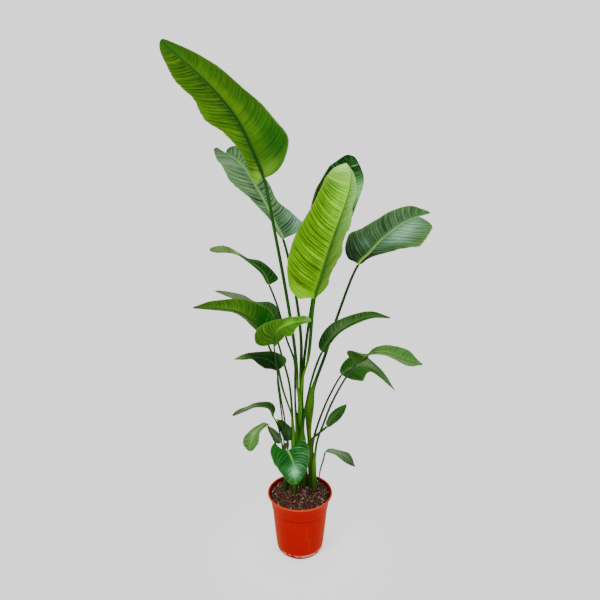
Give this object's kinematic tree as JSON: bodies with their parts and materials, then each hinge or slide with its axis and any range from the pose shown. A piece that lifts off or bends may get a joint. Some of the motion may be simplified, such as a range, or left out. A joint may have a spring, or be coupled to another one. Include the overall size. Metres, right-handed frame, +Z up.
{
  "type": "potted bird of paradise",
  "caption": "Tall indoor plant with broad paddle leaves on long grooved stalks, sheathed in clumps, growing from soil in a round tapered nursery pot.",
  "frame": {"origin": "centre of the pot's flat underside", "axes": "+Z up along the pot's axis, -Y towards the front, +X to the right seen from the front"},
  "size_m": [0.8814, 0.6339, 1.7127],
  "materials": {
    "pot": "moulded, slightly satin, terracotta red",
    "soil": "loose dark potting compost with white grains",
    "leaf_fresh": "satin leaf, light green underside",
    "leaf_deep": "glossy leaf, dark green",
    "leaf_grey": "satin leaf, grey green with a waxy bloom"
  },
  "bodies": {
    "root": {"pot": "pot", "soil": "soil", "leaf_crown_left": "leaf_fresh", "leaf_back_left": "leaf_grey", "leaf_crown_right": "leaf_fresh", "leaf_back_right": "leaf_deep", "leaf_right": "leaf_deep", "leaf_upper_left": "leaf_deep", "leaf_keel_left": "leaf_fresh", "leaf_behind_left": "leaf_deep", "leaf_middle_right": "leaf_deep", "leaf_strip_left": "leaf_fresh", "leaf_ragged_left": "leaf_deep", "leaf_outer_right": "leaf_deep", "leaf_drooping_right": "leaf_deep", "leaf_small_right": "leaf_deep", "leaf_arched_left": "leaf_grey", "leaf_spoon_left": "leaf_fresh", "leaf_heart": "leaf_deep", "leaf_yellow_tipped": "leaf_deep", "leaf_browning": "leaf_grey", "leaf_low_right": "leaf_grey"}
  },
  "joints": []
}
